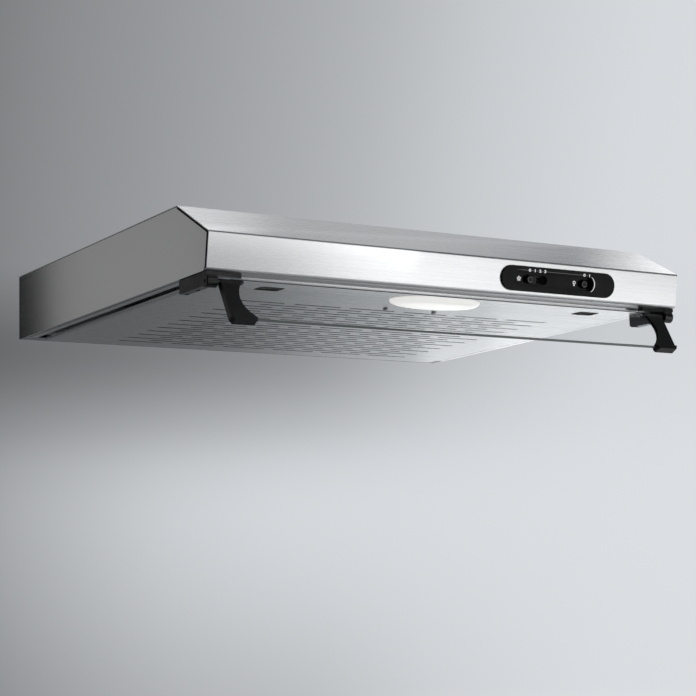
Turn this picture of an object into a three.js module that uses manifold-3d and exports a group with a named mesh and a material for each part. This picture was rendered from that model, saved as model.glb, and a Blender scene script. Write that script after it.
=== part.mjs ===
// Under cabinet range hood: a bent steel canopy with a hinged slotted filter tray below it, a hinged
// glass visor in front, and a centrifugal blower, a lamp and two slide switches inside.
// Millimetres, +Z up. Pieces are placed from the body's front lower left corner: x to the right,
// y to the back, z up. The exported group then moves its origin to the centre of the flat top.

import * as THREE from 'three';
import { mergeVertices } from 'three/addons/utils/BufferGeometryUtils.js';
import Module from 'manifold-3d';

const wasm = await Module();
wasm.setup();

// Driving dimensions of the body.
const WIDTH = 600;
const DEPTH = 495;
const HEIGHT = 76;
const FASCIA = { height: 37.5, lean: 6.5 };
const FASCIA_ANGLE = Math.atan2(FASCIA.lean, FASCIA.height);
const SLOPE_RUN = 68.5;
const SHEET = 1;
const GAP = 0.3;
const LIP_DEPTH = 26;
const LIP_RETURN = 7;
const BEND_RADIUS = 4;
const TOP_BEND_RADIUS = 2.5;
const MIDDLE_X = WIDTH / 2;
const TOP_CENTRE_Y = (SLOPE_RUN + DEPTH) / 2;
const CEILING = HEIGHT - SHEET;

// Filter tray and its hinge.
const TRAY = { left: 24, right: 576, front: 28.5, back: 470.5, floor: -4, rim: 12, bend: 3.5 };
const TRAY_HINGE = { y: TRAY.back - 5, z: 5, pin: 2 };
const REAR_FLANGE_Y = TRAY.back + 5;
const SLOTS = { middle: 307, columns: 6, rows: 12, pitchX: 70.4, pitchY: 27.08, firstY: 136.5 };
const SLOT_SIZE = { length: 58, width: 3.5 };
const RETAINER = { z: 5.8, radius: 1.5, ys: { front: 180, rear: 420 } };

// Latches in the tray.
const LATCH = { xs: { left: 101, right: 513.5 }, front: 54.5, back: 74.5, width: 29 };
const TONGUE = { width: 12, tip: 27.2, low: 3, high: 6 };

// Lamp and its lens.
const LENS = { x: 306, y: 64, halfX: 56, halfY: 31, front: 36.6, drop: 5.5, wall: 1.5 };
const LENS_SCREWS = { y: 123, xs: { left: 280.5, right: 344.5 }, shank: 1.5 };
const LAMP = { y: 67, z: 33 };

// Controls, placed by their distance up the fascia from its foot.
const BEZEL = { x: 429.8, z: 18.3, halfLength: 77.3, radius: 13.7, proud: 2.5 };
const BEZEL_NECK_RADIUS = 11.2;
const RECESS = { x: 422.5, z: 18.2, halfLength: 54.4, radius: 7.6, floor: 1.5 };
const SLIDER_FLOOR_BACK = 3.5;
const KNOB_RADIUS = 4.2;
const SPEED = {
  knob: 390.5,
  slot: [382, 415.6],
  plate: [376, 402.5],
  switch: [378, 424],
  channel: [386, 416],
};
const LIGHT = {
  knob: 465.3,
  slot: [457.2, 476.8],
  plate: [458, 473],
  switch: [452, 482],
  channel: [462, 475],
};

// Visor: pivot line along X, and how far it leans forward of straight down at rest.
const PIVOT = { y: 14.2, z: -9.8, pin: 1.5 };
const VISOR_LEAN = 28.5;
const GLASS = { left: 30, right: 570, top: 3.5, bottom: -45, thickness: 4 };
const ARM_THICKNESS = 6.5;
const BRACKET_SCREWS = { x: 9.5, ys: { front: 41, rear: 66 }, shank: 1.3, head: 2.5 };

// Blower, with its upright axis, and the duct collar above its outlet.
const FAN = { x: 215, y: 262, radius: 80, blades: 24 };
const COLLAR = { x: MIDDLE_X, y: TOP_CENTRE_Y + 105, radius: 60, wall: 1.5, rise: 32, foot: 73.2 };
const PLATE_TOP = COLLAR.foot - GAP;
const PLATE_BOTTOM = PLATE_TOP - 1.5;
const SCROLL = { floor: 22, wall: 2, tongueAngle: 75, tongueRadius: 86, widestRadius: 126, mouth: 65 };
const CAPACITOR = { x: 372, y: 265, radius: 15, bottom: 38 };
const FLAP_PIN = { z: HEIGHT + 8, radius: 1.5 };

// Mains terminals.
const TERMINALS = { x: [515, 575], y: [410, 470], bottom: 45, wall: 2 };
const GLAND = { x: 545, y: 440, radius: 7, bore: 5 };

// Fixings: holes in the flat top for cabinet screws, and in the back for wall screws.
const CABINET_HOLES = { xs: [60, 540], ys: [110, 440], radius: 3 };
const WALL_HOLES = { xs: [100, 500], z: 58, radius: 4 };

const FINISHES = {
  steel: { color: 0xc3c5c6, roughness: 0.34, metalness: 1 },
  zinc: { color: 0x9fa4a6, roughness: 0.5, metalness: 1 },
  black: { color: 0x17181a, roughness: 0.45, metalness: 0 },
  grey: { color: 0x3a3c3f, roughness: 0.5, metalness: 0 },
  white: { color: 0xf3f3ee, roughness: 0.4, metalness: 0 },
  glass: { color: 0xd9e6e4, roughness: 0.05, metalness: 0, transparent: true, opacity: 0.35 },
  felt: { color: 0xe6e4dd, roughness: 1, metalness: 0 },
  brass: { color: 0xc9a75a, roughness: 0.4, metalness: 1 },
};

// ---- Shapes -------------------------------------------------------------------------------------

const AXIS_X = new THREE.Vector3(1, 0, 0);
const AXIS_Y = new THREE.Vector3(0, 1, 0);
const AXIS_Z = new THREE.Vector3(0, 0, 1);

// How an outline's plane turns to face each axis: (y, z) along x, (x, z) along y, (x, y) along z.
const TURNS = {
  x: new THREE.Matrix4().makeBasis(AXIS_Y, AXIS_Z, AXIS_X),
  y: new THREE.Matrix4().makeBasis(AXIS_X, AXIS_Z, AXIS_Y.clone().negate()),
  z: new THREE.Matrix4(),
};

function polygon(points) {
  return new THREE.Shape(points.map(([u, v]) => new THREE.Vector2(u, v)));
}

function disc(u, v, radius) {
  return new THREE.Shape().absarc(u, v, radius, 0, 2 * Math.PI);
}

// A bar with round ends, long along its first axis.
function stadium(u, v, halfLength, radius) {
  const straight = halfLength - radius;
  const shape = new THREE.Shape();
  shape.absarc(u + straight, v, radius, -Math.PI / 2, Math.PI / 2);
  shape.absarc(u - straight, v, radius, Math.PI / 2, 1.5 * Math.PI);
  return shape;
}

function rounded(u0, u1, v0, v1, radius) {
  const shape = new THREE.Shape();
  shape.absarc(u1 - radius, v0 + radius, radius, -Math.PI / 2, 0);
  shape.absarc(u1 - radius, v1 - radius, radius, 0, Math.PI / 2);
  shape.absarc(u0 + radius, v1 - radius, radius, Math.PI / 2, Math.PI);
  shape.absarc(u0 + radius, v0 + radius, radius, Math.PI, 1.5 * Math.PI);
  return shape;
}

// A straight solid of one outline. A round outline gets twice as many sides as segments.
function prism(axis, outline, from, to, segments = 8) {
  const geometry = new THREE.ExtrudeGeometry(outline, {
    depth: to - from,
    bevelEnabled: false,
    curveSegments: segments,
  });
  geometry.translate(0, 0, axis === 'y' ? -to : from);
  return geometry.applyMatrix4(TURNS[axis]);
}

function block([x0, x1], [y0, y1], [z0, z1]) {
  const geometry = new THREE.BoxGeometry(x1 - x0, y1 - y0, z1 - z0);
  return geometry.translate((x0 + x1) / 2, (y0 + y1) / 2, (z0 + z1) / 2);
}

// A turned solid about an upright line. Its profile is [radius, z] points, up the outside first.
function turned(profile, segments = 32, x = 0, y = 0) {
  const points = profile.map(([r, z]) => new THREE.Vector2(r, z));
  const geometry = new THREE.LatheGeometry(points, segments);
  return geometry.rotateX(Math.PI / 2).translate(x, y, 0);
}

// A closed profile for a turned ring.
function ring(inner, outer, z0, z1) {
  return [[inner, z0], [outer, z0], [outer, z1], [inner, z1], [inner, z0]];
}

// A path moved to its right by a distance.
function offsetPath(path, distance) {
  const points = path.map(([u, v]) => new THREE.Vector2(u, v));
  return points.map((point, i) => {
    const before = i > 0 ? point.clone().sub(points[i - 1]).normalize() : null;
    const after = i < points.length - 1 ? points[i + 1].clone().sub(point).normalize() : null;
    const way = (before ?? after).clone().add(after ?? before).normalize();
    const right = new THREE.Vector2(way.y, -way.x);
    const edge = before ?? after;
    const stretch = edge.y * right.x - edge.x * right.y;
    return point.clone().addScaledVector(right, distance / stretch).toArray();
  });
}

// The outline of a bent sheet: a path, and the same path moved to its right by the thickness.
function sheetOutline(path, thickness = SHEET) {
  return polygon([...path, ...offsetPath(path, thickness).reverse()]);
}

// Points of a round bend at a corner between two straight runs.
function bend(before, corner, after, radius, steps) {
  const middle = new THREE.Vector2(...corner);
  const back = new THREE.Vector2(...before).sub(middle).normalize();
  const onward = new THREE.Vector2(...after).sub(middle).normalize();
  const half = Math.acos(back.dot(onward)) / 2;
  const centre = middle.clone().add(back.clone().add(onward).setLength(radius / Math.sin(half)));
  const start = middle.clone().addScaledVector(back, radius / Math.tan(half)).sub(centre);
  const end = middle.clone().addScaledVector(onward, radius / Math.tan(half)).sub(centre);
  const turn = Math.atan2(start.cross(end), start.dot(end));
  return Array.from({ length: steps + 1 }, (_, i) => {
    const spoke = start.clone().rotateAround(new THREE.Vector2(), (turn * i) / steps);
    return centre.clone().add(spoke).toArray();
  });
}

// ---- Joining and cutting ------------------------------------------------------------------------

function bare(geometry) {
  geometry.deleteAttribute('normal');
  geometry.deleteAttribute('uv');
  return mergeVertices(geometry, 1e-4);
}

function toSolid(geometry) {
  const merged = bare(geometry);
  return new wasm.Manifold(new wasm.Mesh({
    numProp: 3,
    vertProperties: Float32Array.from(merged.attributes.position.array),
    triVerts: Uint32Array.from(merged.index.array),
  }));
}

function toGeometry(solid) {
  const { vertProperties, triVerts } = solid.getMesh();
  const geometry = new THREE.BufferGeometry();
  geometry.setAttribute('position', new THREE.BufferAttribute(vertProperties, 3));
  geometry.setIndex(new THREE.BufferAttribute(triVerts, 1));
  return geometry;
}

function join(...pieces) {
  return toGeometry(pieces.map(toSolid).reduce((whole, piece) => whole.add(piece)));
}

function cut(piece, ...tools) {
  return toGeometry(tools.map(toSolid).reduce((left, tool) => left.subtract(tool), toSolid(piece)));
}

function overlap(one, other) {
  return toGeometry(toSolid(one).intersect(toSolid(other)));
}

// The same piece on the other side of the body's middle.
function mirrored(geometry) {
  const copy = bare(geometry.clone());
  copy.scale(-1, 1, 1).translate(WIDTH, 0, 0);
  const index = copy.index.array;
  for (let i = 0; i < index.length; i += 3) {
    [index[i + 1], index[i + 2]] = [index[i + 2], index[i + 1]];
  }
  return copy;
}

const hood = new THREE.Group();
hood.position.set(-MIDDLE_X, -TOP_CENTRE_Y, -HEIGHT);

function addPart(name, geometry, finish, place = [0, 0, 0], parent = hood) {
  geometry.computeVertexNormals();
  const mesh = new THREE.Mesh(geometry, new THREE.MeshStandardMaterial(FINISHES[finish]));
  mesh.name = name;
  mesh.position.set(...place);
  parent.add(mesh);
}

// Adds a left piece and its mirror image.
function addPair(name, geometry, finish, parent = hood) {
  addPart(`${name}_right`, mirrored(geometry), finish, [0, 0, 0], parent);
  addPart(`${name}_left`, geometry, finish, [0, 0, 0], parent);
}

// ---- Body ---------------------------------------------------------------------------------------

const SIDE_SEAM = 2.4;
const FASCIA_SEAM = 4.2;
const SIDE_INSET = SHEET + SIDE_SEAM;
const SIDE_X = 0.4;
const LIP_END = 2;
const RAIL = { outer: 6, inner: 15 };

const FRONT = {
  lipEnd: [LIP_DEPTH, 0],
  foot: [FASCIA.lean, 0],
  brow: [0, FASCIA.height],
  slopeTop: [SLOPE_RUN, HEIGHT],
};

// The sheet from the lip's return, round the front and over the top.
function canopyPath() {
  return [
    [LIP_DEPTH, LIP_RETURN],
    FRONT.lipEnd,
    ...bend(FRONT.lipEnd, FRONT.foot, FRONT.brow, BEND_RADIUS, 4),
    ...bend(FRONT.foot, FRONT.brow, FRONT.slopeTop, TOP_BEND_RADIUS, 3),
    FRONT.slopeTop,
    [DEPTH, HEIGHT],
  ];
}

// Turns a piece drawn on an upright front so that it lies on the leaning fascia.
function onFascia(geometry) {
  return geometry.rotateX(FASCIA_ANGLE).translate(0, FASCIA.lean, 0);
}

function canopy() {
  const wrap = prism('x', sheetOutline(canopyPath()), 0, WIDTH);
  const neck = stadium(BEZEL.x, BEZEL.z, BEZEL.halfLength - BEZEL.radius + BEZEL_NECK_RADIUS + GAP,
    BEZEL_NECK_RADIUS + GAP);
  const lipEnds = [[-1, LIP_END], [WIDTH - LIP_END, WIDTH + 1]].map((xs) => (
    block(xs, [FASCIA.lean + BEND_RADIUS, LIP_DEPTH + 1], [-1, LIP_RETURN + 1])));
  const screwHoles = CABINET_HOLES.xs.flatMap((x) => CABINET_HOLES.ys.map((y) => (
    prism('z', disc(x, y, CABINET_HOLES.radius), CEILING - 1, HEIGHT + 1, 4))));
  return cut(
    wrap,
    onFascia(prism('y', neck, -1, SHEET + 1, 4)),
    prism('z', disc(COLLAR.x, COLLAR.y, COLLAR.radius + GAP), CEILING - 1, HEIGHT + 1, 24),
    prism('z', disc(GLAND.x, GLAND.y, GLAND.radius + GAP), CEILING - 1, HEIGHT + 1, 6),
    ...lipEnds,
    ...screwHoles,
  );
}

// A side sheet sits inside the wrap, with a short return along the bottom and one under the top.
function sidePanel() {
  const slope = Math.atan2(HEIGHT - FASCIA.height, SLOPE_RUN);
  const setback = (FASCIA_SEAM - SIDE_SEAM) / Math.cos(slope - FASCIA_ANGLE);
  const [browY, browZ] = offsetPath([FRONT.foot, FRONT.brow, FRONT.slopeTop], SIDE_INSET)[1];
  const brow = [browY + setback * Math.cos(slope), browZ + setback * Math.sin(slope)];
  const foot = [FASCIA.lean + (SHEET + FASCIA_SEAM) / Math.cos(FASCIA_ANGLE), 0];
  const topInset = SIDE_INSET * Math.tan(slope / 2);
  const outline = polygon([
    [DEPTH, 0],
    [DEPTH, CEILING - GAP],
    [SLOPE_RUN + 2 * topInset, CEILING - GAP],
    [SLOPE_RUN + topInset, HEIGHT - SIDE_INSET],
    ...bend(FRONT.slopeTop, brow, foot, 2, 2),
    ...bend(brow, foot, [DEPTH, 0], 5, 4),
  ]);
  const lowReturn = block([SIDE_X, 4.4], [LIP_DEPTH + 1.5, REAR_FLANGE_Y - 0.5], [0, SHEET]);
  const topReturn = block([SIDE_X, 14.4], [SLOPE_RUN + 12, DEPTH - 15],
    [CEILING - GAP - SHEET, CEILING - GAP]);
  return join(prism('x', outline, SIDE_X, SIDE_X + SHEET, 3), lowReturn, topReturn);
}

// A channel between the side sheet and the tray. Its inner web carries the tray's hinge pin.
function sideRail() {
  const path = [[RAIL.inner, TRAY.rim], [RAIL.inner, 0], [RAIL.outer, 0], [RAIL.outer, 10]];
  const channel = prism('y', sheetOutline(path), LIP_DEPTH + 1.5, REAR_FLANGE_Y - GAP);
  const pinDisc = disc(TRAY_HINGE.y, TRAY_HINGE.z, TRAY_HINGE.pin + GAP);
  const pinHole = prism('x', pinDisc, RAIL.inner - 2, RAIL.inner + 1, 6);
  const screwHoles = Object.values(BRACKET_SCREWS.ys).map((y) => (
    prism('z', disc(BRACKET_SCREWS.x, y, BRACKET_SCREWS.shank + GAP), -1, 2, 4)));
  return cut(channel, pinHole, ...screwHoles);
}

function backPanel() {
  const edge = SIDE_X + SHEET + GAP;
  const sheet = block([edge, WIDTH - edge], [DEPTH - SHEET, DEPTH], [0, CEILING - GAP]);
  const lowReturn = block([edge, WIDTH - edge], [REAR_FLANGE_Y, DEPTH], [0, SHEET]);
  const topReturn = block([16, WIDTH - 16], [DEPTH - 14, DEPTH],
    [CEILING - GAP - SHEET, CEILING - GAP]);
  const holes = WALL_HOLES.xs.map((x) => (
    prism('y', disc(x, WALL_HOLES.z, WALL_HOLES.radius), DEPTH - 2, DEPTH + 1, 5)));
  return cut(join(sheet, lowReturn, topReturn), ...holes);
}

function addBody() {
  addPart('canopy', canopy(), 'steel');
  addPair('side_panel', sidePanel(), 'steel');
  addPair('side_rail', sideRail(), 'steel');
  addPart('back_panel', backPanel(), 'zinc');
}

// ---- Duct collar and its non-return flaps -------------------------------------------------------

// The tube passes up through the top, and its flange sits under the sheet.
function collar() {
  const inner = COLLAR.radius - COLLAR.wall;
  const brim = COLLAR.foot + 1.5;
  const rim = HEIGHT + COLLAR.rise;
  const tube = turned([
    [inner, COLLAR.foot],
    [COLLAR.radius + 10, COLLAR.foot],
    [COLLAR.radius + 10, brim],
    [COLLAR.radius, brim],
    [COLLAR.radius, rim],
    [inner, rim],
    [inner, COLLAR.foot],
  ], 48, COLLAR.x, COLLAR.y);
  const reach = COLLAR.radius + 2;
  return cut(tube, prism('x', disc(COLLAR.y, FLAP_PIN.z, FLAP_PIN.radius + GAP),
    COLLAR.x - reach, COLLAR.x + reach, 5));
}

// One half disc with two knuckles round the pin. The other flap's knuckles fit beside its own.
function flap(side, knuckles) {
  const knuckleRadius = 3.3;
  const knuckleWidth = 16;
  const reach = COLLAR.radius - COLLAR.wall - 1.5;
  const start = knuckleRadius + 0.6;
  const half = new THREE.Shape();
  const startAngle = Math.asin(start / reach);
  half.absarc(0, 0, reach, startAngle, Math.PI - startAngle);
  const leaf = prism('z', half, -0.5, 0.5, 10);
  const tabs = knuckles.flatMap((x) => [
    prism('x', disc(0, 0, knuckleRadius), x - knuckleWidth / 2, x + knuckleWidth / 2, 6),
    block([x - knuckleWidth / 2, x + knuckleWidth / 2], [1, start + 2], [-0.5, 0.5]),
  ]);
  const bore = prism('x', disc(0, 0, FLAP_PIN.radius + GAP), -reach, reach, 5);
  const piece = cut(join(leaf, ...tabs), bore);
  return side > 0 ? piece : piece.rotateZ(Math.PI);
}

function addOutlet() {
  const place = [COLLAR.x, COLLAR.y, FLAP_PIN.z];
  const pin = prism('x', disc(0, 0, FLAP_PIN.radius), -COLLAR.radius, COLLAR.radius, 5);
  addPart('outlet_collar', collar(), 'black');
  addPart('flap_pin', pin, 'zinc', place);
  addPart('flap_rear', flap(1, [-38, 14]), 'grey', place);
  addPart('flap_front', flap(-1, [-38, 14]), 'grey', place);
}

// ---- Blower -------------------------------------------------------------------------------------

// The scroll in plan: a spiral round the fan that widens to the right, then a mouth under the collar.
function scrollOutline(inset) {
  const points = [];
  const spiralSteps = 19;
  for (let step = 0; step <= spiralSteps; step += 1) {
    const share = step / spiralSteps;
    const angle = THREE.MathUtils.degToRad(SCROLL.tongueAngle + share * (360 - SCROLL.tongueAngle));
    const radius = SCROLL.tongueRadius + share * (SCROLL.widestRadius - SCROLL.tongueRadius) - inset;
    points.push([FAN.x + radius * Math.cos(angle), FAN.y + radius * Math.sin(angle)]);
  }
  const mouthSteps = 12;
  for (let step = 0; step <= mouthSteps; step += 1) {
    const angle = THREE.MathUtils.degToRad(-10 + (step / mouthSteps) * 200);
    const radius = SCROLL.mouth - inset;
    points.push([COLLAR.x + radius * Math.cos(angle), COLLAR.y + radius * Math.sin(angle)]);
  }
  return polygon(points);
}

function scrollHousing() {
  const shell = prism('z', scrollOutline(0), SCROLL.floor, PLATE_BOTTOM - GAP);
  const inside = prism('z', scrollOutline(SCROLL.wall), SCROLL.floor + SCROLL.wall, HEIGHT);
  const inlet = prism('z', disc(FAN.x, FAN.y, 62), SCROLL.floor - 1, SCROLL.floor + 5, 20);
  return cut(shell, inside, inlet);
}

// The plate closes the scroll from above, carries the motor and the capacitor, and opens to the duct.
function motorPlate() {
  const ear = block([335, CAPACITOR.x + 20], [CAPACITOR.y - 22, CAPACITOR.y + 22],
    [PLATE_BOTTOM, PLATE_TOP]);
  const plate = join(prism('z', scrollOutline(0), PLATE_BOTTOM, PLATE_TOP), ear);
  const duct = disc(COLLAR.x, COLLAR.y, COLLAR.radius - COLLAR.wall);
  return cut(plate, prism('z', duct, PLATE_BOTTOM - 1, PLATE_TOP + 1, 20));
}

function inletRing() {
  const under = SCROLL.floor - GAP;
  return turned([
    [57, under - 2],
    [74, under - 2],
    [74, under],
    [61, under],
    [60, under + 4],
    [58.5, under + 4],
    [57, under - 2],
  ], 40, FAN.x, FAN.y);
}

function motorBody() {
  const top = PLATE_BOTTOM - GAP;
  const bottom = 38;
  const bore = 3.5;
  return turned([
    [bore, bottom - 2],
    [9, bottom - 2],
    [10, bottom],
    [31, bottom],
    [34, bottom + 4],
    [34, top - 3],
    [26, top],
    [0, top],
    [0, 62],
    [bore, 62],
    [bore, bottom - 2],
  ], 32, FAN.x, FAN.y);
}

// A cup hub round the motor, a back plate, upright blades and a ring that ties their lower ends.
function impeller() {
  const plateTop = 67;
  const hub = turned([
    [3.4, 31],
    [39, 31],
    [39, plateTop - 2],
    [FAN.radius, plateTop - 2],
    [FAN.radius, plateTop],
    [37, plateTop],
    [37, 33],
    [3.4, 33],
    [3.4, 31],
  ], 48);
  const tie = turned(ring(66, FAN.radius, 28, 30), 48);
  const blades = [];
  for (let i = 0; i < FAN.blades; i += 1) {
    const blade = block([-7.5, 7.5], [-0.6, 0.6], [29, plateTop - 1]);
    blade.rotateZ(Math.PI / 6).translate(FAN.radius - 8, 0, 0);
    blades.push(blade.rotateZ((i / FAN.blades) * 2 * Math.PI));
  }
  return join(hub, tie, ...blades);
}

function addBlower() {
  const fanPlace = [FAN.x, FAN.y, 0];
  addPart('scroll_housing', scrollHousing(), 'grey');
  addPart('motor_plate', motorPlate(), 'zinc');
  addPart('inlet_ring', inletRing(), 'grey');
  addPart('motor_body', motorBody(), 'zinc');
  addPart('impeller', impeller(), 'black', fanPlace);
  addPart('motor_shaft', prism('z', disc(0, 0, 3), 26, 60, 6), 'zinc', fanPlace);
  const nut = new THREE.Shape().absarc(0, 0, 6, 0, 2 * Math.PI);
  nut.holes.push(new THREE.Path().absarc(0, 0, 3.8, 0, 2 * Math.PI));
  addPart('impeller_nut', prism('z', nut, 27, 30.7, 3), 'brass', fanPlace);
  const can = turned([
    [0, CAPACITOR.bottom],
    [CAPACITOR.radius - 1, CAPACITOR.bottom],
    [CAPACITOR.radius, CAPACITOR.bottom + 1],
    [CAPACITOR.radius, PLATE_BOTTOM - GAP],
    [0, PLATE_BOTTOM - GAP],
  ], 20, CAPACITOR.x, CAPACITOR.y);
  addPart('capacitor', can, 'white');
}

// ---- Mains terminals ----------------------------------------------------------------------------

function addTerminals() {
  const { x: [x0, x1], y: [y0, y1], bottom, wall } = TERMINALS;
  const top = COLLAR.foot - GAP;
  const shell = block([x0, x1], [y0, y1], [bottom, top]);
  const inside = block([x0 + wall, x1 - wall], [y0 + wall, y1 - wall], [bottom - 1, top - wall]);
  const wireHole = block([x0 - 1, x0 + wall + 1], [y0 + 12, y0 + 22], [bottom - 1, bottom + 8]);
  const entry = prism('z', disc(GLAND.x, GLAND.y, GLAND.radius + GAP), top - 5, top + 1, 6);
  addPart('terminal_box', cut(shell, inside, wireHole, entry), 'white');
  addPart('terminal_cover', block([x0, x1], [y0, y1], [bottom - GAP - 2, bottom - GAP]), 'white');

  const blockTop = bottom + 13;
  const wireBores = [-12, 0, 12].map((dx) => (
    prism('y', disc(GLAND.x + dx, bottom + 5, 2), y0 + 5, y0 + 25, 4)));
  const terminals = block([GLAND.x - 19, GLAND.x + 19], [y0 + 7, y0 + 21], [bottom, blockTop]);
  addPart('terminal_block', cut(terminals, ...wireBores), 'white');

  addPart('cable_gland', turned([
    [GLAND.bore, 64],
    [GLAND.radius, 64],
    [GLAND.radius, COLLAR.foot],
    [GLAND.radius + 4, COLLAR.foot],
    [GLAND.radius + 4, CEILING - GAP],
    [GLAND.radius, CEILING - GAP],
    [GLAND.radius, HEIGHT - 0.1],
    [GLAND.bore, HEIGHT - 0.1],
    [GLAND.bore, 64],
  ], 16, GLAND.x, GLAND.y), 'black');
}

// ---- Lamp ---------------------------------------------------------------------------------------

function addLamp() {
  const plateX = 232;
  const ceiling = CEILING - GAP;
  const outline = polygon([[48, 14], [86, 14], [110, ceiling], [74, ceiling], [48, 58]]);
  const plate = prism('x', outline, plateX, plateX + 1.2);
  const foot = block([plateX, plateX + 22], [76, 108], [ceiling - 1.2, ceiling]);
  const nippleHole = prism('x', disc(LAMP.y, LAMP.z, 5.3), plateX - 1, plateX + 3, 6);
  addPart('lamp_bracket', cut(join(plate, foot), nippleHole), 'zinc');

  // Socket and bulb are turned about Z, then laid along X with their foot at the plate.
  const socket = turned([
    [0, -3],
    [5, -3],
    [5, 1.5],
    [14, 1.5],
    [14, 8],
    [12, 10],
    [12, 30],
    [7.5, 30],
    [7.5, 8],
    [0, 8],
  ], 20);
  addPart('lamp_socket', socket.rotateY(Math.PI / 2), 'white', [plateX, LAMP.y, LAMP.z]);
  const bulb = turned([
    [0, 9],
    [7, 10],
    [7, 32],
    [11, 38],
    [15.5, 50],
    [16.5, 62],
    [15, 76],
    [9.5, 92],
    [3.5, 102],
    [0, 104],
  ], 20);
  addPart('lamp_bulb', bulb.rotateY(Math.PI / 2), 'white', [plateX, LAMP.y, LAMP.z]);
}

// ---- Controls -----------------------------------------------------------------------------------

function sliderSlot([x0, x1]) {
  const outline = stadium((x0 + x1) / 2, RECESS.z, (x1 - x0) / 2, 5);
  return prism('y', outline, -4, SLIDER_FLOOR_BACK + 1, 4);
}

function controlBezel() {
  const flange = stadium(BEZEL.x, BEZEL.z, BEZEL.halfLength, BEZEL.radius);
  const neck = stadium(BEZEL.x, BEZEL.z, BEZEL.halfLength - BEZEL.radius + BEZEL_NECK_RADIUS,
    BEZEL_NECK_RADIUS);
  const recess = stadium(RECESS.x, RECESS.z, RECESS.halfLength, RECESS.radius);
  return cut(
    join(prism('y', flange, -BEZEL.proud, -GAP, 6), prism('y', neck, -GAP - 0.1, SLIDER_FLOOR_BACK, 4)),
    prism('y', recess, -BEZEL.proud - 1, RECESS.floor, 6),
    sliderSlot(SPEED.slot),
    sliderSlot(LIGHT.slot),
  );
}

// A round button in its slot, on a flat plate that slides behind the floor, with a stem to the switch.
function sliderKnob({ knob, plate: [plate0, plate1] }) {
  const back = SLIDER_FLOOR_BACK + 0.4;
  const stem = 1.5;
  return join(
    prism('y', disc(0, 0, KNOB_RADIUS), -1.6, back + 0.5, 6),
    prism('y', disc(0, 0, KNOB_RADIUS / 2), -2.3, -1.5, 6),
    block([plate0 - knob, plate1 - knob], [back, back + 1.5], [-4.4, 4.4]),
    block([-stem, stem], [back + 1, back + 6], [-stem, stem]),
  );
}

function slideSwitch({ switch: body, channel }) {
  return cut(
    block(body, [8.5, 20.5], [9.5, 25.5]),
    block(channel, [8, 13], [RECESS.z - 3, RECESS.z + 3]),
  );
}

function addControls() {
  const controls = new THREE.Group();
  controls.position.set(0, FASCIA.lean, 0);
  controls.rotation.x = FASCIA_ANGLE;
  hood.add(controls);
  addPart('control_bezel', controlBezel(), 'black', [0, 0, 0], controls);
  addPart('speed_knob', sliderKnob(SPEED), 'black', [SPEED.knob, 0, RECESS.z], controls);
  addPart('light_knob', sliderKnob(LIGHT), 'black', [LIGHT.knob, 0, RECESS.z], controls);
  addPart('speed_switch', slideSwitch(SPEED), 'grey', [0, 0, 0], controls);
  addPart('light_switch', slideSwitch(LIGHT), 'grey', [0, 0, 0], controls);
  const shell = block([364, 498], [4.2, 22.5], [6, 32]);
  const inside = block([365.5, 496.5], [3, 21], [7.5, 30.5]);
  const wireHole = block([430, 446], [20, 24], [14, 22]);
  addPart('control_housing', cut(shell, inside, wireHole), 'grey', [0, 0, 0], controls);
}

// ---- Filter tray --------------------------------------------------------------------------------

// A block with round lower edges, from which the tray's outside and inside are made.
function panBlock(inset, top) {
  const bend = TRAY.bend - inset;
  const outline = rounded(TRAY.left + inset, TRAY.right - inset, TRAY.front + inset,
    TRAY.back - inset, bend);
  const geometry = new THREE.ExtrudeGeometry(outline, {
    depth: top - TRAY.floor,
    bevelThickness: bend,
    bevelSize: bend,
    bevelOffset: -bend,
    bevelSegments: 3,
    curveSegments: 1,
  });
  geometry.translate(0, 0, TRAY.floor + inset + bend);
  return overlap(geometry, block([0, WIDTH], [0, DEPTH], [TRAY.floor - 1, top]));
}

function slotCutters() {
  const cutters = [];
  for (let row = 0; row < 2 * SLOTS.rows - 1; row += 1) {
    const columns = row % 2 === 0 ? SLOTS.columns : SLOTS.columns - 1;
    const y = SLOTS.firstY + (row * SLOTS.pitchY) / 2;
    for (let column = 0; column < columns; column += 1) {
      const x = SLOTS.middle + (column - (columns - 1) / 2) * SLOTS.pitchX;
      cutters.push(block(
        [x - SLOT_SIZE.length / 2, x + SLOT_SIZE.length / 2],
        [y - SLOT_SIZE.width / 2, y + SLOT_SIZE.width / 2],
        [TRAY.floor - 1, TRAY.floor + SHEET + 1],
      ));
    }
  }
  return cutters;
}

// An oval with a straight front edge.
function lensOutline(inset) {
  const shape = new THREE.Shape();
  const halfY = LENS.halfY - inset;
  const angle = Math.asin((LENS.y - LENS.front - inset) / halfY);
  shape.absellipse(LENS.x, LENS.y, LENS.halfX - inset, halfY, -angle, Math.PI + angle);
  return shape;
}

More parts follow.
